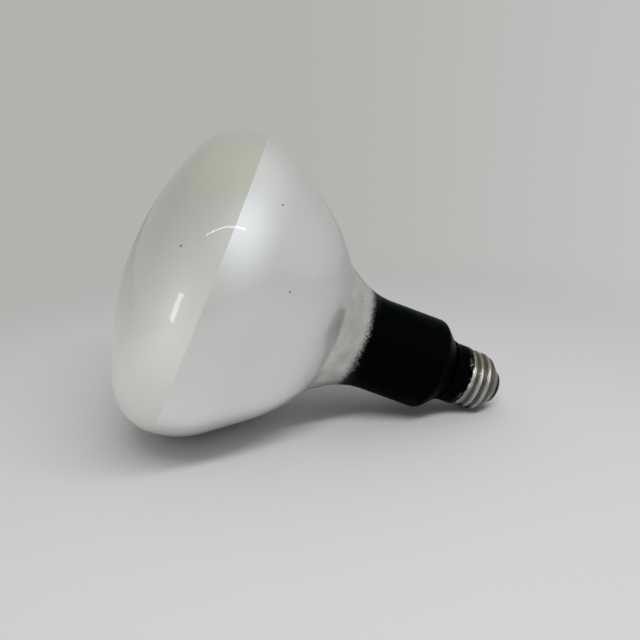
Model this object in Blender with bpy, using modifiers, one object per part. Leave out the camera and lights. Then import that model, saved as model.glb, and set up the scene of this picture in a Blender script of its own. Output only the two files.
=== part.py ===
"""A reflector photoflood lamp with a medium screw base, lying on its side as it comes to rest.

The lamp is modelled upright about its own axis, with the centre contact at height 0 and the face on top,
and is then laid down on the widest part of its bulb and the last turn of its thread. All sizes are in metres.
"""

import math

import bpy
import numpy as np

# The blown bulb, from the face down to the shoulder. The slopes are measured from the lamp's axis.
overall_length = 0.1689
bulb_diameter = 0.127
face_dome_radius = 0.118
face_rim_radius = 0.0213
bowl_upper_radius = 0.035
bowl_upper_slope = math.radians(33.5)
bowl_bend_diameter = 0.0852
bowl_lower_slope = math.radians(50.0)
bowl_lower_radius = 0.080
throat_bend_diameter = 0.0573
throat_slope = math.radians(30.0)
throat_upper_radius = 0.016
throat_lower_radius = 0.031
neck_diameter = 0.0402
neck_foot_diameter = 0.0409
shoulder_slope = math.radians(42.0)
shoulder_radius = 0.004

# The glass inside the base: the sealed stub ends in the tip where the bulb was closed after pumping.
stub_edge_radius = 0.0015
exhaust_tip_diameter = 0.005
exhaust_tip_length = 0.004

# The screw shell, a drawn and rolled cup of thin sheet, from its coned end up to its rim.
# The thread is the medium lamp thread, with seven turns an inch.
shell_wall = 0.00035
shell_end_height = 0.0040
shell_end_diameter = 0.0164
end_cone_length = 0.0046
end_cone_radius = 0.006
thread_length = 0.0089
thread_crest_diameter = 0.0262
thread_depth = 0.0008
thread_pitch = 0.0254 / 7
thread_start_fade = 0.0012
thread_end_fade = 0.0020
thread_run_out = 0.0013
first_crest_drop = 0.0034
bead_width = 0.0016
bead_rise = 0.0005
skirt_length = 0.0076
skirt_diameter = 0.0268
rim_flare = 0.0005
rim_flare_length = 0.0012

# The cement in the skirt, and the room between the glass cone and the shell's rim.
cement_thickness = 0.00125
rim_gap = 0.00085

# The glass insulator in the end of the shell, the contact set in it, and the wire that feeds the contact.
flange_height = 0.0028
flange_foot_radius = 0.003
flange_edge_radius = 0.0005
nose_reach = 0.00255
nose_radius = 0.0015
contact_diameter = 0.0098
contact_thickness = 0.00045
contact_edge = 0.0002
contact_shank_diameter = 0.0040
contact_shank_length = 0.0020
contact_bore_diameter = 0.0022
solder_diameter = 0.0040
solder_height = 0.0007
lead_diameter = 0.0006
lead_start_offset = 0.0065

# Room left between pieces that meet, and the facets of the round pieces.
clearance = 0.0003
bulb_facets = 52
shell_facets = 40
small_facets = 28
arc_step = math.radians(10.0)
small_arc_step = math.radians(30.0)
small_fillet = 0.002
rows_a_turn = 6

# The heights and radii that more than one piece is made to, measured from the contact's tip and from the axis.
end_cone_height = shell_end_height + end_cone_length
thread_top_height = end_cone_height + thread_length
bead_height = thread_top_height + bead_width / 2
skirt_end_height = bead_height + bead_width / 2
shell_rim_height = skirt_end_height + skirt_length
insulator_top_height = end_cone_height + flange_height
stub_end_height = skirt_end_height + clearance
thread_mean_radius = (thread_crest_diameter - thread_depth) / 2
thread_root_radius = thread_crest_diameter / 2 - thread_depth
skirt_inner_radius = skirt_diameter / 2 - shell_wall
stub_radius = skirt_inner_radius - cement_thickness - 2 * clearance
shoulder_height = shell_rim_height + (
    neck_foot_diameter / 2 - skirt_inner_radius - rim_flare + rim_gap
) / math.tan(shoulder_slope)

parts = bpy.data.collections.new("photoflood_lamp")


def clear_scene():
    for obj in list(bpy.data.objects):
        bpy.data.objects.remove(obj, do_unlink=True)
    bpy.context.scene.collection.children.link(parts)


def make_material(name, colour, roughness, metallic):
    material = bpy.data.materials.new(name)
    material.use_nodes = True
    shader = material.node_tree.nodes["Principled BSDF"]
    shader.inputs["Base Color"].default_value = (*colour, 1.0)
    shader.inputs["Roughness"].default_value = roughness
    shader.inputs["Metallic"].default_value = metallic
    return material


def add_part(name, mesh, material):
    """Link a mesh as a named part of the lamp, smooth over its rounds and sharp at its corners."""
    part = bpy.data.objects.new(name, mesh)
    mesh.name = name
    mesh.materials.clear()
    mesh.materials.append(material)
    mesh.shade_smooth()
    mesh.set_sharp_from_angle(angle=math.radians(35))
    parts.objects.link(part)
    return part


def rounded(corners):
    """Round an outline of (radius, height, fillet) corners: each fillet becomes an arc of short chords.

    Where two fillets need more than the straight run between them, both are limited to what it has.
    """
    points = [np.array(corner[:2]) for corner in corners]
    turns = []
    reaches = []
    for index, corner in enumerate(corners):
        back = points[index - 1] - points[index]
        ahead = points[(index + 1) % len(points)] - points[index]
        cosine = back @ ahead / (np.linalg.norm(back) * np.linalg.norm(ahead))
        turns.append(math.pi - math.acos(np.clip(cosine, -1.0, 1.0)))
        reaches.append(corner[2] * math.tan(turns[-1] / 2))
    shares = [1.0] * len(corners)
    for index, reach in enumerate(reaches):
        after = (index + 1) % len(corners)
        run = np.linalg.norm(points[after] - points[index])
        wanted = reach + reaches[after]
        if wanted > run:
            shares[index] = min(shares[index], run / wanted)
            shares[after] = min(shares[after], run / wanted)
    outline = []
    for index, corner in enumerate(corners):
        fillet = corner[2] * shares[index]
        if fillet == 0.0:
            outline.append(points[index])
            continue
        turn = turns[index]
        reach = reaches[index] * shares[index]
        back = points[index - 1] - points[index]
        ahead = points[(index + 1) % len(points)] - points[index]
        back /= np.linalg.norm(back)
        ahead /= np.linalg.norm(ahead)
        middle = back + ahead
        centre = points[index] + middle / np.linalg.norm(middle) * fillet / math.cos(turn / 2)
        start = points[index] + back * reach - centre
        end = points[index] + ahead * reach - centre
        chords = math.ceil(turn / (small_arc_step if corner[2] < small_fillet else arc_step))
        for step in range(chords + 1):
            share = step / chords
            blend = (math.sin((1 - share) * turn) * start + math.sin(share * turn) * end) / math.sin(turn)
            outline.append(centre + blend)
    return [(float(radius), float(height)) for radius, height in outline]


def turned(name, outline, facets, closed=False):
    """Turn an outline of (radius, height) points about the upright axis and return the object with its Screw."""
    mesh = bpy.data.meshes.new(name)
    points = [(radius, 0.0, height) for radius, height in outline]
    edges = [(index, index + 1) for index in range(len(points) - 1)]
    if closed:
        edges.append((len(points) - 1, 0))
    mesh.from_pydata(points, edges, [])
    blank = bpy.data.objects.new(name, mesh)
    parts.objects.link(blank)
    screw = blank.modifiers.new("turn", "SCREW")
    screw.axis = "Z"
    screw.angle = math.tau
    screw.steps = facets
    screw.render_steps = facets
    screw.use_merge_vertices = True
    screw.merge_threshold = 0.00001
    screw.use_smooth_shade = True
    # Half a facet of turn puts a flat, and not an edge, on the side that the lamp lies on.
    blank.rotation_euler = (0.0, 0.0, math.pi / facets)
    return blank


def turned_mesh(name, outline, facets, closed=False):
    """The mesh of a turned outline, with its half facet of turn taken into its points."""
    blank = turned(name, outline, facets, closed)
    bpy.context.view_layer.update()
    depsgraph = bpy.context.evaluated_depsgraph_get()
    mesh = bpy.data.meshes.new_from_object(blank.evaluated_get(depsgraph))
    mesh.transform(blank.matrix_world)
    bpy.data.objects.remove(blank, do_unlink=True)
    return mesh


def bulb_outline():
    """The blown bulb from the middle of its face to the tip of its stub: tangent arcs and straight runs."""
    widest = bulb_diameter / 2
    bowl_bend = bowl_bend_diameter / 2
    throat_bend = throat_bend_diameter / 2
    neck = neck_diameter / 2
    foot = neck_foot_diameter / 2
    tip = exhaust_tip_diameter / 2
    # The face's dome runs into its rim where the line through both centres crosses them.
    dome_centre = overall_length - face_dome_radius
    rim_angle = math.asin((widest - face_rim_radius) / (face_dome_radius - face_rim_radius))
    widest_height = dome_centre + (face_dome_radius - face_rim_radius) * math.cos(rim_angle)
    face = []
    dome_chords = math.ceil(rim_angle / (arc_step / 2))
    for step in range(dome_chords):
        angle = rim_angle * step / dome_chords
        face.append((face_dome_radius * math.sin(angle), dome_centre + face_dome_radius * math.cos(angle)))
    rim_chords = math.ceil((math.pi / 2 - rim_angle) / arc_step)
    for step in range(rim_chords):
        angle = rim_angle + (math.pi / 2 - rim_angle) * step / rim_chords
        inset = face_rim_radius * (1 - math.sin(angle))
        face.append((widest - inset, widest_height + face_rim_radius * math.cos(angle)))
    bowl_corner = widest_height - bowl_upper_radius * math.tan(bowl_upper_slope / 2)
    bowl_bend_height = bowl_corner - (widest - bowl_bend) / math.tan(bowl_upper_slope)
    throat_bend_height = bowl_bend_height - (bowl_bend - throat_bend) / math.tan(bowl_lower_slope)
    neck_top = throat_bend_height - (throat_bend - neck) / math.tan(throat_slope)
    stub_top = shoulder_height - (foot - stub_radius) / math.tan(shoulder_slope)
    body = rounded([
        (widest, widest_height, 0.0),
        (widest, bowl_corner, bowl_upper_radius),
        (bowl_bend, bowl_bend_height, bowl_lower_radius),
        (throat_bend, throat_bend_height, throat_upper_radius),
        (neck, neck_top, throat_lower_radius),
        (foot, shoulder_height, shoulder_radius),
        (stub_radius, stub_top, 0.0),
        (stub_radius, stub_end_height, stub_edge_radius),
        (tip, stub_end_height, 0.0),
        (tip, stub_end_height - exhaust_tip_length, tip / 2),
        (0.0, stub_end_height - exhaust_tip_length, 0.0),
    ])
    # The bowl's first arc starts on the widest ring, so that the ring is in the outline once.
    return face + body[1:]


def make_glass_bulb():
    """The bulb is closed and frosted, so it is one solid from its face to the stub inside the shell."""
    glass = make_material("frosted_and_coated_glass", (0.80, 0.80, 0.77), 0.35, 0.0)
    return add_part("glass_bulb", turned_mesh("glass_bulb", bulb_outline(), bulb_facets), glass)


def smooth_step(value):
    share = min(1.0, max(0.0, value))
    return share * share * (3 - 2 * share)


def thread_wave(height, angle):
    """How far the rolled wall stands out from its mean: a right-hand wave, faded at both ends."""
    first_crest = thread_top_height - first_crest_drop
    turns = (height - first_crest) / thread_pitch - (angle + math.pi / 2) / math.tau
    fade_in = smooth_step((thread_top_height - height) / thread_start_fade)
    fade_out = smooth_step((height - end_cone_height + thread_run_out) / thread_end_fade)
    return thread_depth / 2 * fade_in * fade_out * math.cos(math.tau * turns)


def shell_outline():
    """The outer side of the plain cup before its thread is rolled: rim, skirt, bead, thread wall and coned end."""
    skirt = skirt_diameter / 2
    bead = thread_mean_radius + bead_rise
    outline = [(skirt + rim_flare, shell_rim_height)]
    outline.append((skirt + rim_flare / 2, shell_rim_height - rim_flare_length / 2))
    outline.append((skirt, shell_rim_height - rim_flare_length))
    outline.append((skirt, skirt_end_height))
    bead_flank = bead_width / 3
    outline.append((thread_mean_radius + bead_rise / 2, bead_height + bead_flank))
    outline.append((bead, bead_height))
    outline.append((thread_mean_radius + bead_rise / 2, bead_height - bead_flank))
    cone = rounded([
        (thread_mean_radius, thread_top_height, 0.0),
        (thread_mean_radius, end_cone_height, end_cone_radius),
        (shell_end_diameter / 2, shell_end_height, 0.0),
    ])[1:]
    wall_end = cone[0][1]
    rows = math.ceil((thread_top_height - wall_end) / (thread_pitch / rows_a_turn))
    for row in range(rows):
        outline.append((thread_mean_radius, thread_top_height + row / rows * (wall_end - thread_top_height)))
    return outline + cone


def make_screw_shell():
    """Spin the cup, roll the thread into its wall, and give it the thickness of the sheet, inwards."""
    nickel = make_material("nickel_plated_brass", (0.62, 0.60, 0.56), 0.28, 1.0)
    mesh = turned_mesh("screw_shell", shell_outline(), shell_facets)
    for vertex in mesh.vertices:
        x, y, height = vertex.co
        radius = math.hypot(x, y)
        grown = (radius + thread_wave(height, math.atan2(y, x))) / radius
        vertex.co = (x * grown, y * grown, height)
    shell = add_part("screw_shell", mesh, nickel)
    wall = shell.modifiers.new("sheet", "SOLIDIFY")
    wall.thickness = shell_wall
    wall.offset = -1.0
    wall.use_even_offset = True
    wall.use_quality_normals = True
    return shell


def make_basing_cement():
    """The ring of cement between the stub and the skirt holds the shell on the glass."""
    putty = make_material("basing_cement", (0.72, 0.66, 0.54), 0.9, 0.0)
    inner = stub_radius + clearance
    outer = skirt_inner_radius - clearance
    glass_cone = shoulder_height - (neck_foot_diameter / 2 - inner) / math.tan(shoulder_slope)
    top = min(shell_rim_height - rim_flare_length, glass_cone - clearance)
    bottom = skirt_end_height + clearance
    outline = [(inner, top), (outer, top), (outer, bottom), (inner, bottom)]
    return add_part("basing_cement", turned_mesh("basing_cement", outline, small_facets, closed=True), putty)


def make_base_insulator():
    """The insulator is moulded into the shell: a flange behind the cone, and a nose that carries the contact."""
    vitrite = make_material("black_glass", (0.012, 0.012, 0.013), 0.12, 0.0)
    end = shell_end_diameter / 2
    slope = math.atan((thread_mean_radius - end) / end_cone_length)
    # The flange lies behind the cone at the sheet's thickness and one clearance, measured square to the cone.
    inset = (shell_wall + clearance) / math.cos(slope)
    flange = thread_root_radius - shell_wall - clearance
    passage = end - shell_wall * math.cos(slope) - clearance
    flange_foot = end_cone_height - (thread_mean_radius - inset - flange) / math.tan(slope)
    passage_top = end_cone_height - (thread_mean_radius - inset - passage) / math.tan(slope)
    seat = solder_height + contact_thickness + clearance
    bore = contact_shank_diameter / 2 + clearance
    pocket = seat + contact_shank_length + clearance
    wire = lead_diameter / 2 + 2 * clearance
    outline = rounded([
        (flange, insulator_top_height, flange_edge_radius),
        (flange, flange_foot, flange_foot_radius),
        (passage, passage_top, 0.0),
        (passage, shell_end_height - nose_reach, nose_radius),
        (contact_diameter / 2 + clearance, seat, 0.0),
        (bore, seat, 0.0),
        (bore, pocket, 0.0),
        (wire, pocket, 0.0),
        (wire, insulator_top_height, 0.0),
    ])
    return add_part("base_insulator", turned_mesh("base_insulator", outline, small_facets, closed=True), vitrite)


def make_centre_contact():
    """A brass eyelet pressed into the insulator, its end closed by the dome of solder that holds the wire."""
    brass = make_material("contact_brass", (0.66, 0.55, 0.33), 0.35, 1.0)
    rim = contact_diameter / 2
    shank = contact_shank_diameter / 2
    bore = contact_bore_diameter / 2
    dome = solder_diameter / 2
    face = solder_height
    back = face + contact_thickness
    outline = [(0.0, back), (bore, back), (bore, back + contact_shank_length), (shank, back + contact_shank_length)]
    outline += [(shank, back), (rim, back), (rim, face + contact_edge), (rim - contact_edge, face)]
    dome_steps = 4
    for step in range(dome_steps + 1):
        angle = math.pi / 2 * step / dome_steps
        outline.append((dome * math.cos(angle), face * (1 - math.sin(angle))))
    return add_part("centre_contact", turned_mesh("centre_contact", outline, small_facets), brass)


def make_centre_lead():
    """The wire runs down beside the exhaust tip, bends over to the axis below it, and enters the insulator's bore."""
    copper = make_material("lead_wire", (0.72, 0.45, 0.30), 0.4, 1.0)
    bend_start = stub_end_height - exhaust_tip_length
    bend_end = insulator_top_height + clearance
    curve = bpy.data.curves.new("centre_lead", "CURVE")
    curve.dimensions = "3D"
    curve.bevel_depth = lead_diameter / 2
    curve.bevel_resolution = 2
    curve.use_fill_caps = True
    route = [(lead_start_offset, 0.0, stub_end_height - clearance)]
    bend_points = 10
    for step in range(bend_points + 1):
        share = step / bend_points
        offset = lead_start_offset * (1 - smooth_step(share))
        route.append((offset, 0.0, bend_start + share * (bend_end - bend_start)))
    route.append((0.0, 0.0, solder_height + contact_thickness + clearance))
    spline = curve.splines.new("POLY")
    spline.points.add(len(route) - 1)
    for point, place in zip(spline.points, route):
        point.co = (*place, 1.0)
    curve.materials.append(copper)
    lead = bpy.data.objects.new("centre_lead", curve)
    parts.objects.link(lead)
    return lead


def resting_tilt():
    """The slope of the line that touches the underside of the bulb and of the thread, measured from the axis."""
    bulb_flat = math.cos(math.pi / bulb_facets)
    shell_flat = math.cos(math.pi / shell_facets)
    down = math.pi
    bowl = []
    for radius, height in bulb_outline():
        if height > shoulder_height:
            bowl.append((radius * bulb_flat, height))
    feet = []
    for radius, height in shell_outline():
        if height < thread_top_height:
            feet.append(((radius + thread_wave(height, down)) * shell_flat, height))
    slopes = []
    for foot, foot_height in feet:
        slopes.append(max((radius - foot) / (height - foot_height) for radius, height in bowl))
    return math.atan(min(slopes))


def lay_down(pieces):
    """Lay the lamp on its side on the floor, with the middle of its box over the origin."""
    axle = bpy.data.objects.new("lamp_axis", None)
    parts.objects.link(axle)
    for piece in pieces:
        piece.parent = axle
    axle.rotation_euler = (0.0, resting_tilt() - math.pi / 2, 0.0)
    bpy.context.view_layer.update()
    depsgraph = bpy.context.evaluated_depsgraph_get()
    corners = []
    for piece in pieces:
        mesh = piece.evaluated_get(depsgraph).to_mesh()
        corners += [piece.matrix_world @ vertex.co for vertex in mesh.vertices]
        piece.evaluated_get(depsgraph).to_mesh_clear()
    corners = np.array(corners)
    low = corners.min(axis=0)
    high = corners.max(axis=0)
    axle.location = (-(low[0] + high[0]) / 2, -(low[1] + high[1]) / 2, -low[2])


clear_scene()
lay_down([
    make_glass_bulb(),
    make_screw_shell(),
    make_basing_cement(),
    make_base_insulator(),
    make_centre_contact(),
    make_centre_lead(),
])
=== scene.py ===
"""The looks of a reflector photoflood lamp that lies on its side on a pale floor."""

import math

import bpy
import numpy as np
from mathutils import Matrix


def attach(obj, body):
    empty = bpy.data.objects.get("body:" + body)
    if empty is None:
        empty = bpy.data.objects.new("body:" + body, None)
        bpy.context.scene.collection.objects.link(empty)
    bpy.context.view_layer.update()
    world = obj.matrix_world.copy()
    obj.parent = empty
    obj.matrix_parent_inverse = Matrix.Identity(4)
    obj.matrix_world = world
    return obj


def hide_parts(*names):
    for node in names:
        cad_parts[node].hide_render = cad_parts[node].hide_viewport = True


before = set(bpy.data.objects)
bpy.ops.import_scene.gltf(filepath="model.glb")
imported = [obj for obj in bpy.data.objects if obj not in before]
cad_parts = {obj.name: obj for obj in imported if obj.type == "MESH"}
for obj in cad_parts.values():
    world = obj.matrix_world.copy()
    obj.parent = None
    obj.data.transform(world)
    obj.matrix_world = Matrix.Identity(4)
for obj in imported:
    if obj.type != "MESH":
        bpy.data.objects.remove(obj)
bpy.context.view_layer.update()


# The camera looks down on the lamp from in front, with the face on the left and the base on the right.
# Its place, height and angle are those of the photograph.
camera_place = (-0.02166, -0.24257, 0.12260)
camera_fall = math.radians(17.99)
camera_turn = math.radians(5.52)
sensor_width = 36.0
focal_length = 33.78
nearest_seen = 0.01
bpy.ops.object.select_all(action="DESELECT")
bpy.ops.object.camera_add(
    location=camera_place,
    rotation=(math.pi / 2 - camera_fall, 0.0, -camera_turn),
)
camera = bpy.context.object
camera.name = "camera"
camera.data.sensor_width = sensor_width
camera.data.lens = focal_length
camera.data.clip_start = nearest_seen
bpy.context.scene.camera = camera
bpy.context.scene.view_settings.view_transform = "Standard"


# The lamp lies in a small tent of pale cloth that glows evenly and has a dark open front. The cloth shows as
# a plain pale wall behind the lamp, and two brighter stretches of it put a soft shine on the glass. A key
# light casts the shadow, a light strip makes the thin arc in the glass, and a far window the short streak.
node_columns = 6
first_node_column = -10
node_width = 240
node_height = 200


def add_node(tree, kind, **settings):
    """Add a node to a tree, in the next free place of a grid."""
    node = tree.nodes.new(kind)
    row, column = divmod(len(tree.nodes), node_columns)
    node.location = (node_width * (first_node_column + column), -node_height * row)
    for name, value in settings.items():
        setattr(node, name, value)
    return node


def plug(tree, value, socket):
    """Give a socket a plain value, or link it where the value is another node's output."""
    if isinstance(value, bpy.types.NodeSocket):
        tree.links.new(value, socket)
    else:
        socket.default_value = value


def fade_between(tree, value, low, high, start=0.0, end=1.0):
    """Go smoothly from start to end while the value goes from low to high."""
    node = add_node(tree, "ShaderNodeMapRange", interpolation_type="SMOOTHSTEP")
    plug(tree, value, node.inputs["Value"])
    plug(tree, low, node.inputs["From Min"])
    plug(tree, high, node.inputs["From Max"])
    plug(tree, start, node.inputs["To Min"])
    plug(tree, end, node.inputs["To Max"])
    return node.outputs["Result"]


def blend_colours(tree, share, first, second):
    """The first colour where the share is 0, the second where it is 1, and a blend between."""
    node = add_node(tree, "ShaderNodeMix", data_type="RGBA")
    plug(tree, share, node.inputs["Factor"])
    plug(tree, first, node.inputs["A"])
    plug(tree, second, node.inputs["B"])
    return node.outputs["Result"]


def work_out(tree, operation, *values):
    """One step of sums on numbers that change over the surface."""
    node = add_node(tree, "ShaderNodeMath", operation=operation)
    for value, socket in zip(values, node.inputs):
        plug(tree, value, socket)
    return node.outputs["Value"]


def share_towards(tree, direction, aim, low, high, most=1.0):
    """Rise from 0 to the most as a direction nears an aim: low and high are cosines of the angle between."""
    agreement = add_node(tree, "ShaderNodeVectorMath", operation="DOT_PRODUCT")
    plug(tree, direction, agreement.inputs[0])
    plug(tree, aim, agreement.inputs[1])
    return fade_between(tree, agreement.outputs["Value"], low, high, end=most)


wall_left_colour = (0.446, 0.452, 0.425, 1.0)
wall_right_colour = (0.555, 0.560, 0.555, 1.0)
top_glow = (0.665, 0.67, 0.675, 1.0)
side_and_back_glow = (0.65, 0.655, 0.65, 1.0)
open_front_glow = (0.03, 0.03, 0.03, 1.0)
back_cloth = (0.455, 0.46, 0.45, 1.0)
bright_cloth = (1.13, 1.16, 1.24, 1.0)
bright_cloth_direction = (0.62, -0.475, 0.625)
upper_cloth_direction = (0.53, 0.33, 0.78)
world = bpy.data.worlds.new("cloth_tent")
world.use_nodes = True
world.cycles.sampling_method = "NONE"
bpy.context.scene.world = world
tree = world.node_tree
direction = add_node(tree, "ShaderNodeTexCoord").outputs["Generated"]
direction_parts = add_node(tree, "ShaderNodeSeparateXYZ")
plug(tree, direction, direction_parts.inputs["Vector"])
to_the_right = direction_parts.outputs["X"]
to_the_back = direction_parts.outputs["Y"]
upwards = direction_parts.outputs["Z"]
wall_share = fade_between(tree, to_the_right, low=0.0, high=0.75)
wall = blend_colours(tree, wall_share, wall_left_colour, wall_right_colour)
cloth_share = fade_between(tree, to_the_back, low=-0.80, high=0.10)
side_glow = blend_colours(tree, cloth_share, open_front_glow, side_and_back_glow)
top_share = fade_between(tree, upwards, low=0.25, high=1.0)
glow = blend_colours(tree, top_share, side_glow, top_glow)
right_share = share_towards(tree, direction, bright_cloth_direction, low=0.825, high=0.99)
upper_share = share_towards(tree, direction, upper_cloth_direction, low=0.88, high=1.0, most=0.22)
bright_share = work_out(tree, "MAXIMUM", right_share, upper_share)
behind = fade_between(tree, to_the_back, low=0.15, high=0.75)
reflected = blend_colours(tree, behind, wall, back_cloth)
reflected = blend_colours(tree, bright_share, reflected, bright_cloth)
ray = add_node(tree, "ShaderNodeLightPath")
lighting = blend_colours(tree, ray.outputs["Is Glossy Ray"], glow, reflected)
seen_plainly = ray.outputs["Is Camera Ray"]
seen_through_glass = ray.outputs["Is Transmission Ray"]
wall_shows = work_out(tree, "MAXIMUM", seen_plainly, seen_through_glass)
background = blend_colours(tree, wall_shows, lighting, wall)
plug(tree, background, tree.nodes["Background"].inputs["Color"])

# An area light looks white, with a brightness of 1, when each square metre of it has this many watts.
watts_for_white = 4.0


def add_soft_light(name, place, turn, width, height, brightness):
    """An area light whose surface shines with the given brightness, where 1 is white."""
    bpy.ops.object.light_add(type="AREA", location=place)
    light = bpy.context.object
    light.name = name
    light.rotation_euler = [math.radians(angle) for angle in turn]
    light.data.shape = "RECTANGLE"
    light.data.size = width
    light.data.size_y = height
    light.data.energy = brightness * watts_for_white * width * height
    light.visible_camera = False
    return light


key_light = add_soft_light(
    "key_light",
    place=(0.08, -0.256, 0.476),
    turn=(32.3, 0.0, 17.3),
    width=0.50,
    height=0.06,
    brightness=15.4,
)
key_light.visible_glossy = False
add_soft_light(
    "light_strip",
    place=(0.0975, -0.30, 0.4135),
    turn=(90.0, -2.8, 0.0),
    width=0.41,
    height=0.015,
    brightness=6.0,
)
add_soft_light(
    "far_window",
    place=(-0.213, -0.30, 0.094),
    turn=(90.0, 23.6, 0.0),
    width=0.056,
    height=0.105,
    brightness=3.6,
)


# The floor is a plain sheet of pale matt paper, laid flat under the lamp.
# It fades into the wall behind the lamp, so that no edge of it shows.
floor_size = 6.0
floor_colour = (0.550, 0.555, 0.555, 1.0)
floor_fade_start = 0.10
floor_fade_end = 0.40
bpy.ops.mesh.primitive_plane_add(size=floor_size)
floor = bpy.context.object
floor.name = "floor"
floor_material = bpy.data.materials.new("pale_floor")
floor_material.use_nodes = True
tree = floor_material.node_tree
floor_shader = tree.nodes["Principled BSDF"]
floor_shader.inputs["Base Color"].default_value = floor_colour
floor_shader.inputs["Roughness"].default_value = 0.9
floor_shader.inputs["Specular IOR Level"].default_value = 0.1
floor_distance = add_node(tree, "ShaderNodeVectorMath", operation="LENGTH")
plug(tree, add_node(tree, "ShaderNodeTexCoord").outputs["Object"], floor_distance.inputs[0])
far = fade_between(tree, floor_distance.outputs["Value"], floor_fade_start, floor_fade_end)
faded = work_out(tree, "MULTIPLY", far, add_node(tree, "ShaderNodeLightPath").outputs["Is Camera Ray"])
floor_blend = add_node(tree, "ShaderNodeMixShader")
plug(tree, faded, floor_blend.inputs["Fac"])
plug(tree, floor_shader.outputs["BSDF"], floor_blend.inputs[1])
plug(tree, add_node(tree, "ShaderNodeBsdfTransparent").outputs["BSDF"], floor_blend.inputs[2])
plug(tree, floor_blend.outputs["Shader"], tree.nodes["Material Output"].inputs["Surface"])
floor.data.materials.append(floor_material)


# The bulb is blown from clear glass in one piece: a domed face, a bowl, a throat, a neck and a shoulder. The
# face is frosted inside, the bowl and throat have a reflecting coat inside that looks white through the
# glass, and the neck and shoulder are painted black outside. A stub with a closed tip goes into the base.
overall_length = 0.1689
widest_radius = 0.0635
dome_radius = 0.118
dome_steps = 16
rim_radius = 0.0213
rim_steps = 24
glass_arc_step = math.radians(2.5)
glass_steps = 160
merge_distance = 0.000002
crease_angle = math.radians(35)
lamp_place = (0.0818972, 0.0, 0.0082018)
lamp_turn = math.radians(22.59707 - 90.0)


def round_corners(corners, arc_step):
    """Turn an outline of (radius, height, fillet) corners into points, with an arc at each fillet."""
    points = [np.array(corner[:2]) for corner in corners]
    outline = []
    for index, corner in enumerate(corners):
        fillet = corner[2]
        if fillet == 0.0:
            outline.append(points[index])
            continue
        back = points[index - 1] - points[index]
        ahead = points[(index + 1) % len(points)] - points[index]
        back /= np.linalg.norm(back)
        ahead /= np.linalg.norm(ahead)
        turn = math.pi - math.acos(np.clip(back @ ahead, -1.0, 1.0))
        reach = fillet * math.tan(turn / 2)
        middle = back + ahead
        centre = points[index] + middle / np.linalg.norm(middle) * fillet / math.cos(turn / 2)
        start = points[index] + back * reach - centre
        end = points[index] + ahead * reach - centre
        chords = math.ceil(turn / arc_step)
        for step in range(chords + 1):
            share = step / chords
            swing = (math.sin((1 - share) * turn) * start + math.sin(share * turn) * end) / math.sin(turn)
            outline.append(centre + swing)
    return [(float(radius), float(height)) for radius, height in outline]


def spin_outline(name, outline, steps):
    """Extrude an outline from one vertex, point by point, and spin it about the upright axis."""
    bpy.ops.object.select_all(action="DESELECT")
    bpy.ops.mesh.primitive_plane_add(size=0.001)
    piece = bpy.context.object
    piece.name = name
    bpy.ops.object.mode_set(mode="EDIT")
    bpy.ops.mesh.select_all(action="SELECT")
    bpy.ops.mesh.merge(type="CENTER")
    bpy.ops.transform.translate(value=(outline[0][0], 0.0, outline[0][1]))
    for start, end in zip(outline, outline[1:]):
        step = (end[0] - start[0], 0.0, end[1] - start[1])
        bpy.ops.mesh.extrude_vertices_move(TRANSFORM_OT_translate={"value": step})
    bpy.ops.mesh.select_all(action="SELECT")
    bpy.ops.mesh.spin(steps=steps, angle=math.tau, center=(0.0, 0.0, 0.0), axis=(0.0, 0.0, 1.0))
    bpy.ops.mesh.select_all(action="SELECT")
    bpy.ops.mesh.remove_doubles(threshold=merge_distance)
    bpy.ops.mesh.normals_make_consistent(inside=False)
    bpy.ops.object.mode_set(mode="OBJECT")
    return piece


def select_only(piece):
    bpy.ops.object.select_all(action="DESELECT")
    piece.select_set(True)
    bpy.context.view_layer.objects.active = piece


def lay_down(piece):
    """Lay an upright piece on the lamp's resting axis and take its place into its mesh."""
    select_only(piece)
    piece.rotation_euler = (0.0, lamp_turn, 0.0)
    piece.location = lamp_place
    bpy.ops.object.transform_apply(location=True, rotation=True, scale=True)
    bpy.ops.object.shade_smooth_by_angle(angle=crease_angle)


def dome_and_rim():
    """The face from its middle to the widest ring: a shallow dome that runs into a tighter rim."""
    centre = overall_length - dome_radius
    rim_start = math.asin((widest_radius - rim_radius) / (dome_radius - rim_radius))
    ring_height = centre + (dome_radius - rim_radius) * math.cos(rim_start)
    outline = []
    for angle in np.linspace(0.0, rim_start, dome_steps, endpoint=False):
        outline.append((dome_radius * math.sin(angle), centre + dome_radius * math.cos(angle)))
    for angle in np.linspace(rim_start, math.pi / 2, rim_steps):
        inset = rim_radius * (1 - math.sin(angle))
        outline.append((widest_radius - inset, ring_height + rim_radius * math.cos(angle)))
    return outline, ring_height


face_outline, ring_height = dome_and_rim()
widest_ring = (widest_radius, ring_height, 0.0)
bowl_side = (widest_radius, 0.12737, 0.035)
bowl_bend = (0.0426, 0.09580, 0.080)
throat_bend = (0.02865, 0.08409, 0.016)
neck_top = (0.0201, 0.06928, 0.031)
neck_foot = (0.02045, 0.03531, 0.004)
shoulder_foot = (0.0112, 0.02503, 0.0)
stub_end = (0.0112, 0.0194, 0.0015)
tip_root = (0.0025, 0.0194, 0.0)
tip_edge = (0.0025, 0.0154, 0.00125)
tip_middle = (0.0, 0.0154, 0.0)
body_corners = [
    widest_ring,
    bowl_side,
    bowl_bend,
    throat_bend,
    neck_top,
    neck_foot,
    shoulder_foot,
    stub_end,
    tip_root,
    tip_edge,
    tip_middle,
]
body_outline = round_corners(body_corners, glass_arc_step)
blown_glass = spin_outline("blown_glass", face_outline + body_outline[1:], glass_steps)
coat_edge_tilt = math.radians(1.4)
coat_edge_drop = 0.0014
all_paint_height = 0.0682
coat_edge_place = (0.0, 0.0, ring_height - coat_edge_drop)
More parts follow.
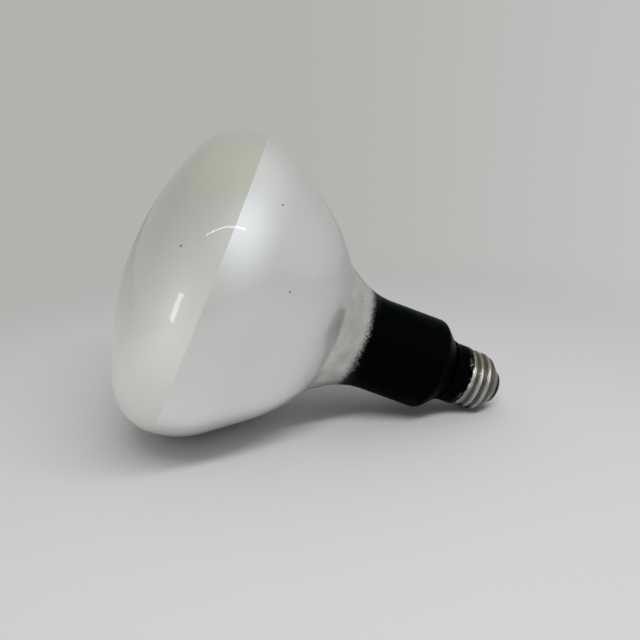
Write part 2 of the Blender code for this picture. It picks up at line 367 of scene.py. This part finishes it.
coat_edge_normal = (math.sin(coat_edge_tilt), 0.0, math.cos(coat_edge_tilt))
bpy.ops.object.mode_set(mode="EDIT")
bpy.ops.mesh.select_all(action="SELECT")
bpy.ops.mesh.bisect(plane_co=coat_edge_place, plane_no=coat_edge_normal)
bpy.ops.object.mode_set(mode="OBJECT")
frosted_slot = 0
coated_slot = 1
painted_slot = 2
for face in blown_glass.data.polygons:
    if (np.array(face.center) - coat_edge_place) @ coat_edge_normal > 0:
        face.material_index = frosted_slot
    elif face.center.z > all_paint_height:
        face.material_index = coated_slot
    else:
        face.material_index = painted_slot
lay_down(blown_glass)


def new_finish(name):
    """A new material, with its node tree and its shader."""
    material = bpy.data.materials.new(name)
    material.use_nodes = True
    return material, material.node_tree, material.node_tree.nodes["Principled BSDF"]


def lamp_space(tree):
    """Object coordinates turned upright: Z is the height from the contact's tip, along the lamp's axis."""
    upright = add_node(tree, "ShaderNodeMapping", vector_type="TEXTURE")
    upright.inputs["Location"].default_value = lamp_place
    upright.inputs["Rotation"].default_value = (0.0, lamp_turn, 0.0)
    plug(tree, add_node(tree, "ShaderNodeTexCoord").outputs["Object"], upright.inputs["Vector"])
    return upright.outputs["Vector"]


def height_in(tree, space):
    parts = add_node(tree, "ShaderNodeSeparateXYZ")
    plug(tree, space, parts.inputs["Vector"])
    return parts.outputs["Z"]


def height_above_floor(tree):
    return height_in(tree, add_node(tree, "ShaderNodeTexCoord").outputs["Object"])


def stretched(tree, space, scale):
    stretch = add_node(tree, "ShaderNodeMapping")
    plug(tree, scale, stretch.inputs["Scale"])
    plug(tree, space, stretch.inputs["Vector"])
    return stretch.outputs["Vector"]


def cloudy(tree, space, scale, detail):
    """Clouds between 0 and 1. The scale is how many lie in a metre, and the detail how ragged they are."""
    noise = add_node(tree, "ShaderNodeTexNoise")
    plug(tree, scale, noise.inputs["Scale"])
    plug(tree, detail, noise.inputs["Detail"])
    plug(tree, space, noise.inputs["Vector"])
    return noise.outputs["Fac"]


def wander(tree, space, scale, detail, reach):
    """A cloudy shift to either side of nothing, as far as the reach in all."""
    off_middle = work_out(tree, "SUBTRACT", cloudy(tree, space, scale, detail), 0.5)
    return work_out(tree, "MULTIPLY", off_middle, reach)


def near_place(tree, space, place, inner, outer):
    """1 at a place on the lamp, fading to 0 between two distances from it."""
    gap = add_node(tree, "ShaderNodeVectorMath", operation="DISTANCE")
    plug(tree, space, gap.inputs[0])
    plug(tree, place, gap.inputs[1])
    return fade_between(tree, gap.outputs["Value"], inner, outer, start=1.0, end=0.0)


def raise_surface(tree, shader, height, strength, depth):
    """Small bumps in the shading, as deep as the depth at most."""
    bump = add_node(tree, "ShaderNodeBump")
    plug(tree, strength, bump.inputs["Strength"])
    plug(tree, depth, bump.inputs["Distance"])
    plug(tree, height, bump.inputs["Height"])
    plug(tree, bump.outputs["Normal"], shader.inputs["Normal"])


# Stray specks are bits of dirt and pits in the glass, one here and there. The group marks them, and each
# finish gives it how close they may lie, how large they are and what share of them is there.
specks = bpy.data.node_groups.new("stray_specks", "ShaderNodeTree")
specks.interface.new_socket("Vector", in_out="INPUT", socket_type="NodeSocketVector")
for setting in ("Scale", "Size", "Share"):
    specks.interface.new_socket(setting, in_out="INPUT", socket_type="NodeSocketFloat")
specks.interface.new_socket("Mask", in_out="OUTPUT", socket_type="NodeSocketFloat")
specks_in = add_node(specks, "NodeGroupInput")
cells = add_node(specks, "ShaderNodeTexVoronoi")
plug(specks, specks_in.outputs["Vector"], cells.inputs["Vector"])
plug(specks, specks_in.outputs["Scale"], cells.inputs["Scale"])
speck_core = work_out(specks, "LESS_THAN", cells.outputs["Distance"], specks_in.outputs["Size"])
cell_draw = add_node(specks, "ShaderNodeSeparateColor")
plug(specks, cells.outputs["Color"], cell_draw.inputs["Color"])
cell_kept = work_out(specks, "LESS_THAN", cell_draw.outputs["Red"], specks_in.outputs["Share"])
specks_out = add_node(specks, "NodeGroupOutput")
plug(specks, work_out(specks, "MULTIPLY", speck_core, cell_kept), specks_out.inputs["Mask"])


def add_specks(tree, space, scale, size, share):
    group = add_node(tree, "ShaderNodeGroup", node_tree=specks)
    plug(tree, space, group.inputs["Vector"])
    plug(tree, scale, group.inputs["Scale"])
    plug(tree, size, group.inputs["Size"])
    plug(tree, share, group.inputs["Share"])
    return group.outputs["Mask"]


# The frosted face's colour holds painted light: it is painted palest low down and darker high up, a painted
# glow for the light from the coated bowl that comes through it. High up, next to the rim, it has a faint
# olive tint.
low_face_colour = (0.870, 0.878, 0.828, 1.0)
high_face_colour = (0.474, 0.478, 0.446, 1.0)
olive_tint_colour = (0.485, 0.495, 0.405, 1.0)
olive_tint_place = (0.0505, -0.0350, 0.1475)
face_speck_place = (0.0233, -0.0556, 0.1491)
speck_colour = (0.16, 0.16, 0.15, 1.0)
speck_inner = 0.0002
speck_outer = 0.0006
speck_size = 0.014
frosted, tree, shader = new_finish("frosted_face")
space = lamp_space(tree)
# Painted light: the face is painted paler the lower it lies above the floor.
painted_glow_and_frosting = fade_between(tree, height_above_floor(tree), low=0.044, high=0.104, start=1.0, end=0.0)
uneven_frosting = wander(tree, space, scale=22.0, detail=2.0, reach=0.2)
painted_glow_and_frosting = work_out(tree, "ADD", painted_glow_and_frosting, uneven_frosting)
face_colour = blend_colours(tree, painted_glow_and_frosting, high_face_colour, low_face_colour)
olive_tint = near_place(tree, space, olive_tint_place, inner=0.004, outer=0.025)
face_colour = blend_colours(tree, olive_tint, face_colour, olive_tint_colour)
speck = near_place(tree, space, face_speck_place, speck_inner, speck_outer)
face_colour = blend_colours(tree, speck, face_colour, speck_colour)
speck = add_specks(tree, space, scale=55.0, size=speck_size, share=0.35)
face_colour = blend_colours(tree, speck, face_colour, speck_colour)
plug(tree, face_colour, shader.inputs["Base Color"])
shader.inputs["Metallic"].default_value = 0.5
shader.inputs["Roughness"].default_value = 0.55
shader.inputs["Coat Weight"].default_value = 1.0
shader.inputs["Coat Roughness"].default_value = 0.02
blown_glass.data.materials.append(frosted)

# The coat's colour holds painted light: it is painted whitest low on the bowl, and two pale patches near the
# throat are painted light too. It is greyer and smudged towards the neck. The black paint begins there with
# a soft, uneven sprayed edge.
coat_colour = (0.72, 0.73, 0.71, 1.0)
coat_painted_light_colour = (0.98, 0.995, 0.98, 1.0)
near_neck_colour = (0.53, 0.54, 0.50, 1.0)
smudge_colour = (0.44, 0.45, 0.41, 1.0)
smudge_stretch = (0.9, 0.9, 1.2)
coat_speck_colour = (0.35, 0.35, 0.34, 1.0)
# Two patches of painted light near the throat.
painted_light_patches = (
    ((-0.0040, -0.0335, 0.0872), 0.013, (0.90, 0.91, 0.88, 1.0)),
    ((-0.0086, -0.0229, 0.0758), 0.009, (0.70, 0.71, 0.68, 1.0)),
)
coat_speck_places = (
    (0.0452, -0.0399, 0.1232),
    (0.0202, -0.0488, 0.1112),
    (0.0193, -0.0165, 0.0784),
)
black_paint_colour = (0.0012, 0.0012, 0.0013, 1.0)
all_paint_edge = 0.0703
last_spray_edge = 0.0748
silvered, tree, shader = new_finish("silvered_bowl_and_black_neck")
space = lamp_space(tree)
height = height_in(tree, space)
smudge = cloudy(tree, stretched(tree, space, smudge_stretch), scale=170.0, detail=6.0)
smudge = fade_between(tree, smudge, low=0.30, high=0.75)
near_neck = fade_between(tree, height, low=0.076, high=0.096, start=1.0, end=0.0)
# Painted light: the coat is painted whiter the lower it lies above the floor.
coat_painted_light_low = fade_between(tree, height_above_floor(tree), low=0.018, high=0.062, start=1.0, end=0.0)
silver_colour = blend_colours(tree, coat_painted_light_low, coat_colour, coat_painted_light_colour)
# The coat is greyer towards the neck.
silver_colour = blend_colours(tree, near_neck, silver_colour, near_neck_colour)
# Painted light: pale patches painted near the throat.
for patch_place, patch_reach, patch_colour in painted_light_patches:
    painted_light_patch = near_place(tree, space, patch_place, inner=0.001, outer=patch_reach)
    silver_colour = blend_colours(tree, painted_light_patch, silver_colour, patch_colour)
smudge_on_neck = work_out(tree, "MULTIPLY", smudge, near_neck)
silver_colour = blend_colours(tree, smudge_on_neck, silver_colour, smudge_colour)
speck = add_specks(tree, space, scale=60.0, size=speck_size, share=0.30)
silver_colour = blend_colours(tree, speck, silver_colour, coat_speck_colour)
for speck_place in coat_speck_places:
    speck = near_place(tree, space, speck_place, speck_inner, speck_outer)
    silver_colour = blend_colours(tree, speck, silver_colour, speck_colour)
fine_spray = wander(tree, space, scale=1500.0, detail=4.0, reach=0.006)
uneven_spray = wander(tree, space, scale=90.0, detail=5.0, reach=0.005)
spray = work_out(tree, "ADD", fine_spray, uneven_spray)
sprayed_height = work_out(tree, "ADD", height, spray)
paint = fade_between(tree, sprayed_height, all_paint_edge, last_spray_edge, start=1.0, end=0.0)
plug(tree, blend_colours(tree, paint, silver_colour, black_paint_colour), shader.inputs["Base Color"])
plug(tree, fade_between(tree, paint, low=0.0, high=1.0, start=0.72, end=1.0), shader.inputs["Metallic"])
plug(tree, fade_between(tree, paint, low=0.0, high=1.0, start=0.42, end=0.45), shader.inputs["Roughness"])
plug(tree, fade_between(tree, paint, low=0.0, high=1.0, start=1.0, end=0.0), shader.inputs["Coat Weight"])
shader.inputs["Coat Roughness"].default_value = 0.03
shader.inputs["Specular IOR Level"].default_value = 0.1
shader.inputs["Specular Tint"].default_value = (0.75, 0.76, 0.78, 1.0)
blown_glass.data.materials.append(silvered)

black_paint_lump_colour = (0.0024, 0.0024, 0.0025, 1.0)
neck_lump_scale = 160.0
neck_lump_depth = 0.0001


def black_paint(name, lump_scale, lump_depth):
    """Brushed black paint: near black and dull, with small lumps."""
    material, tree, shader = new_finish(name)
    lumps = cloudy(tree, lamp_space(tree), lump_scale, detail=3.0)
    paint_colour = blend_colours(tree, lumps, black_paint_colour, black_paint_lump_colour)
    plug(tree, paint_colour, shader.inputs["Base Color"])
    roughness = fade_between(tree, lumps, low=0.3, high=0.7, start=0.32, end=0.44)
    plug(tree, roughness, shader.inputs["Roughness"])
    shader.inputs["Metallic"].default_value = 1.0
    shader.inputs["Specular Tint"].default_value = (0.54, 0.56, 0.57, 1.0)
    raise_surface(tree, shader, lumps, strength=0.5, depth=lump_depth)
    return material


blown_glass.data.materials.append(black_paint("neck_paint", neck_lump_scale, neck_lump_depth))
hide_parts("glass_bulb")
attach(blown_glass, "root")


# The screw shell is a thin cup of nickel-plated brass sheet. It is drawn, rolled to the lamp thread, and
# cemented over the glass stub. The black paint of the neck runs on over its skirt down to the bead.
sheet_thickness = 0.00035
shell_rim = 0.0267
skirt_radius = 0.0134
bead_height = 0.0183
skirt_paint_foot = bead_height + 0.002
thread_mean_radius = 0.0127
thread_rise = 0.0004
thread_pitch = 0.0254 / 7
thread_top = 0.0175
thread_row_step = 0.0002
thread_start_length = 0.0012
thread_end_length = 0.0020
thread_end_on_cone = 0.0013
first_crest = thread_top - 0.0034
cone_corner = 0.0086
cone_fillet = 0.006
cone_end_radius = 0.0082
shell_end = 0.0040
shell_arc_step = math.radians(3.0)
shell_steps = 160


def smooth_step(value):
    """0 below nothing, 1 above one, and a smooth rise between."""
    share = min(1.0, max(0.0, value))
    return share * share * (3 - 2 * share)


def thread_wave(height, angle):
    """How far the rolled thread stands out of the sheet's mean radius, at a height and an angle."""
    turns = (height - first_crest) / thread_pitch - (angle + math.pi / 2) / math.tau
    fade_in = smooth_step((thread_top - height) / thread_start_length)
    fade_out = smooth_step((height - cone_corner + thread_end_on_cone) / thread_end_length)
    return thread_rise * fade_in * fade_out * math.cos(math.tau * turns)


rim_and_skirt = (
    (0.01390, 0.0),
    (0.01378, 0.0003),
    (0.01365, 0.0006),
    (0.01346, 0.0010),
    (skirt_radius, 0.0014),
    (skirt_radius, 0.0056),
)
bead = (
    (skirt_radius, 0.0010),
    (0.01335, 0.0008),
    (0.01305, 0.00065),
    (0.01296, 0.00050),
    (0.01306, 0.00035),
    (0.01317, 0.00018),
    (0.01320, 0.0),
    (0.01317, -0.00018),
    (0.01306, -0.00035),
    (0.01290, -0.00052),
    (0.01275, -0.00068),
)
cone_corners = [
    (thread_mean_radius, thread_top, 0.0),
    (thread_mean_radius, cone_corner, cone_fillet),
    (cone_end_radius, shell_end, 0.0),
]
cone_outline = round_corners(cone_corners, shell_arc_step)[1:]
shell_outline = [(radius, shell_rim - drop) for radius, drop in rim_and_skirt]
shell_outline += [(radius, bead_height + rise) for radius, rise in bead]
for row_height in np.arange(thread_top, cone_outline[0][1], -thread_row_step):
    shell_outline.append((thread_mean_radius, float(row_height)))
shell_outline += cone_outline
threaded_shell = spin_outline("threaded_shell", shell_outline, shell_steps)
for vertex in threaded_shell.data.vertices:
    x, y, z = vertex.co
    radius = math.hypot(x, y)
    grown = (radius + thread_wave(z, math.atan2(y, x))) / radius
    vertex.co = (x * grown, y * grown, z)
nickel_slot = 0
skirt_paint_slot = 1
for face in threaded_shell.data.polygons:
    face.material_index = skirt_paint_slot if face.center.z > skirt_paint_foot else nickel_slot
sheet = threaded_shell.modifiers.new("sheet", "SOLIDIFY")
sheet.thickness = sheet_thickness
sheet.offset = -1.0
sheet.use_even_offset = True
select_only(threaded_shell)
bpy.ops.object.modifier_apply(modifier=sheet.name)
lay_down(threaded_shell)


def distance_from_axis(tree, space):
    length = add_node(tree, "ShaderNodeVectorMath", operation="LENGTH")
    plug(tree, stretched(tree, space, (1.0, 1.0, 0.0)), length.inputs[0])
    return length.outputs["Value"]


# As the lamp lies, the nickel's colour holds painted light: it is painted dark low down as painted shade and
# bright higher up as a painted highlight, and it is darker and warmer on top. A painted highlight sits on
# the bead. The thread's grooves are darker, with dirt and painted shade in them, and the paint's edge above
# the bead is chipped and worn through in places.
painted_shade_nickel_colour = (0.46, 0.46, 0.45, 1.0)
painted_highlight_nickel_colour = (0.88, 0.855, 0.80, 1.0)
warm_top_nickel_colour = (0.40, 0.365, 0.31, 1.0)
tarnish_colour = (0.27, 0.25, 0.215, 1.0)
tarnish_strength = 0.6
# A painted highlight on the bead.
painted_bead_highlight_colour = (1.0, 0.98, 0.93, 1.0)
painted_bead_highlight_place = (0.0068, -0.0113, 0.0183)
groove_dirt_and_shade_colour = (0.10, 0.088, 0.072, 1.0)
chip_colour = (0.19, 0.18, 0.14, 1.0)
worn_places = (
    ((-0.0050, -0.0124, 0.0196), 0.0022),
    ((0.0095, -0.0094, 0.0200), 0.0034),
)
worn_paint_roughness = 0.5
skirt_lump_scale = 420.0
skirt_lump_depth = 0.0005
nickel, tree, shader = new_finish("worn_nickel_and_paint")
space = lamp_space(tree)
height = height_in(tree, space)
above_floor = height_above_floor(tree)
# Painted light: dark low down as painted shade, bright higher up as a painted highlight.
painted_highlight_share = fade_between(tree, above_floor, low=0.0135, high=0.0190)
metal_colour = blend_colours(tree, painted_highlight_share, painted_shade_nickel_colour, painted_highlight_nickel_colour)
warm_top_share = fade_between(tree, above_floor, low=0.0190, high=0.0235)
metal_colour = blend_colours(tree, warm_top_share, metal_colour, warm_top_nickel_colour)
tarnish = cloudy(tree, space, scale=220.0, detail=5.0)
tarnish_share = fade_between(tree, tarnish, low=0.40, high=0.70)
tarnish_share = work_out(tree, "MULTIPLY", tarnish_share, tarnish_strength)
metal_colour = blend_colours(tree, tarnish_share, metal_colour, tarnish_colour)
# A painted highlight: a bright spot painted on the bead.
painted_bead_highlight = near_place(tree, space, painted_bead_highlight_place, inner=0.0010, outer=0.0032)
metal_colour = blend_colours(tree, painted_bead_highlight, metal_colour, painted_bead_highlight_colour)
# The grooves are painted darker: dirt in them and painted shade.
groove_dirt_and_shade = fade_between(tree, distance_from_axis(tree, space), low=0.01246, high=0.01308, start=0.94, end=0.0)
below_bead = fade_between(tree, height, low=0.0172, high=0.0176, start=1.0, end=0.0)
groove_dirt_and_shade = work_out(tree, "MULTIPLY", groove_dirt_and_shade, below_bead)
metal_colour = blend_colours(tree, groove_dirt_and_shade, metal_colour, groove_dirt_and_shade_colour)
chipped_height = work_out(tree, "ADD", height, wander(tree, space, scale=450.0, detail=4.0, reach=0.0028))
paint = fade_between(tree, chipped_height, low=0.01880, high=0.01905)
worn_away = fade_between(tree, chipped_height, low=0.0190, high=0.0200, start=0.6, end=0.0)
for worn_place, worn_reach in worn_places:
    worn_here = near_place(tree, space, worn_place, inner=0.0006, outer=worn_reach)
    worn_away = work_out(tree, "MAXIMUM", worn_away, worn_here)
chips = fade_between(tree, cloudy(tree, space, scale=1300.0, detail=3.0), low=0.48, high=0.58)
chips = work_out(tree, "MULTIPLY", chips, worn_away)
worn_paint_colour = blend_colours(tree, chips, black_paint_colour, chip_colour)
plug(tree, blend_colours(tree, paint, metal_colour, worn_paint_colour), shader.inputs["Base Color"])
metal_roughness = fade_between(tree, tarnish, low=0.30, high=0.75, start=0.18, end=0.34)
paint_roughness = work_out(tree, "MULTIPLY", paint, worn_paint_roughness)
plug(tree, work_out(tree, "MAXIMUM", metal_roughness, paint_roughness), shader.inputs["Roughness"])
shader.inputs["Metallic"].default_value = 1.0
shader.inputs["Specular IOR Level"].default_value = 0.1
lumps = work_out(tree, "MULTIPLY", cloudy(tree, space, skirt_lump_scale, detail=3.0), paint)
raise_surface(tree, shader, lumps, strength=0.6, depth=skirt_lump_depth)
threaded_shell.data.materials.append(nickel)
threaded_shell.data.materials.append(black_paint("skirt_paint", skirt_lump_scale, skirt_lump_depth))
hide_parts("screw_shell")
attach(threaded_shell, "root")


# The insulator is black glass, pressed hot into the end of the shell. Its nose stands out of the shell's
# cone and has a seat for the centre contact, with a hole for its barrel and a narrower one for the lead.
insulator_radius = 0.01165
insulator_back = 0.0114
insulator_back_fillet = 0.0005
insulator_cone_corner = 0.00846
insulator_cone_fillet = 0.003
nose_radius = 0.00765
nose_root = 0.00437
nose_front = 0.00145
nose_fillet = 0.0023
seat_radius = 0.0052
barrel_hole_radius = 0.0023
barrel_hole_end = 0.00375
lead_hole_radius = 0.0009
insulator_steps = 96
insulator_corners = [
    (insulator_radius, insulator_back, insulator_back_fillet),
    (insulator_radius, insulator_cone_corner, insulator_cone_fillet),
    (nose_radius, nose_root, 0.0),
    (nose_radius, nose_front, nose_fillet),
    (seat_radius, nose_front, 0.0),
    (barrel_hole_radius, nose_front, 0.0),
    (barrel_hole_radius, barrel_hole_end, 0.0),
    (lead_hole_radius, barrel_hole_end, 0.0),
    (lead_hole_radius, insulator_back, 0.0),
]
insulator_outline = round_corners(insulator_corners, math.radians(6.0))
closed_outline = insulator_outline + insulator_outline[:1]
black_insulator = spin_outline("black_insulator", closed_outline, insulator_steps)
lay_down(black_insulator)
black_glass_colour = (0.004, 0.004, 0.005, 1.0)
black_glass_ripple_colour = (0.012, 0.012, 0.013, 1.0)
black_glass, tree, shader = new_finish("black_insulator_glass")
ripple = cloudy(tree, lamp_space(tree), scale=500.0, detail=3.0)
rippled_colour = blend_colours(tree, ripple, black_glass_colour, black_glass_ripple_colour)
plug(tree, rippled_colour, shader.inputs["Base Color"])
plug(tree, fade_between(tree, ripple, low=0.3, high=0.7, start=0.10, end=0.28), shader.inputs["Roughness"])
shader.inputs["Specular IOR Level"].default_value = 0.2
raise_surface(tree, shader, ripple, strength=0.4, depth=0.0002)
black_insulator.data.materials.append(black_glass)
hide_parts("base_insulator")
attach(black_insulator, "root")


# The centre contact is a brass eyelet, pressed from sheet and set into the insulator with its barrel.
# A dome of solder closes it over the end of the lead.
barrel_bore_radius = 0.0011
barrel_radius = 0.0020
barrel_end = 0.00315
flange_back = 0.00115
flange_front = 0.00070
solder_radius = 0.0020
solder_height = 0.0007
solder_arc_points = 10
contact_steps = 96
contact_outline = [
    (0.0, flange_back),
    (barrel_bore_radius, flange_back),
    (barrel_bore_radius, barrel_end),
    (barrel_radius, barrel_end),
    (barrel_radius, flange_back),
    (0.0048, flange_back),
    (0.0049, 0.00105),
    (0.0049, 0.00090),
    (0.0048, 0.00075),
    (0.0047, flange_front),
    (0.0021, flange_front),
]
for angle in np.linspace(0.0, math.pi / 2, solder_arc_points):
    contact_outline.append((solder_radius * math.cos(angle), solder_height * (1 - math.sin(angle))))
centre_eyelet = spin_outline("centre_eyelet", contact_outline, contact_steps)
lay_down(centre_eyelet)
brass_colour = (0.55, 0.44, 0.24, 1.0)
stained_brass_colour = (0.28, 0.21, 0.12, 1.0)
solder_colour = (0.42, 0.42, 0.43, 1.0)
eyelet, tree, shader = new_finish("brass_eyelet_and_solder")
space = lamp_space(tree)
solder = fade_between(tree, height_in(tree, space), low=0.00062, high=0.00069, start=1.0, end=0.0)
stain = cloudy(tree, space, scale=700.0, detail=4.0)
eyelet_colour = blend_colours(tree, stain, brass_colour, stained_brass_colour)
plug(tree, blend_colours(tree, solder, eyelet_colour, solder_colour), shader.inputs["Base Color"])
plug(tree, fade_between(tree, stain, low=0.3, high=0.7, start=0.28, end=0.50), shader.inputs["Roughness"])
shader.inputs["Metallic"].default_value = 1.0
raise_surface(tree, shader, stain, strength=0.3, depth=0.0001)
centre_eyelet.data.materials.append(eyelet)
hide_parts("centre_contact")
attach(centre_eyelet, "root")


# The cement is a putty of resin and stone dust, packed between the stub and the skirt and baked hard.
# Its outer end shows in the gap under the shoulder, where it is painted black with the neck.
putty_colour = (0.60, 0.54, 0.42, 1.0)
putty_grain_colour = (0.78, 0.72, 0.60, 1.0)
putty_paint_start = 0.0245
putty_paint_full = 0.0252
putty, tree, shader = new_finish("basing_putty")
space = lamp_space(tree)
grain = cloudy(tree, space, scale=900.0, detail=5.0)
cement_colour = blend_colours(tree, grain, putty_colour, putty_grain_colour)
painted = fade_between(tree, height_in(tree, space), putty_paint_start, putty_paint_full)
cement_colour = blend_colours(tree, painted, cement_colour, black_paint_colour)
plug(tree, cement_colour, shader.inputs["Base Color"])
shader.inputs["Roughness"].default_value = 0.9
raise_surface(tree, shader, grain, strength=0.5, depth=0.0003)
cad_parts["basing_cement"].data.materials.clear()
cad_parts["basing_cement"].data.materials.append(putty)


# The lead is a bare copper wire from the stem to the centre contact, where it is soldered.
# The heat of sealing has dulled it.
copper_colour = (0.62, 0.36, 0.22, 1.0)
dulled_copper_colour = (0.34, 0.18, 0.11, 1.0)
wire, tree, shader = new_finish("bare_lead_wire")
dulling = cloudy(tree, lamp_space(tree), scale=600.0, detail=3.0)
wire_colour = blend_colours(tree, dulling, copper_colour, dulled_copper_colour)
plug(tree, wire_colour, shader.inputs["Base Color"])
shader.inputs["Metallic"].default_value = 1.0
shader.inputs["Roughness"].default_value = 0.4
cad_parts["centre_lead"].data.materials.clear()
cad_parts["centre_lead"].data.materials.append(wire)
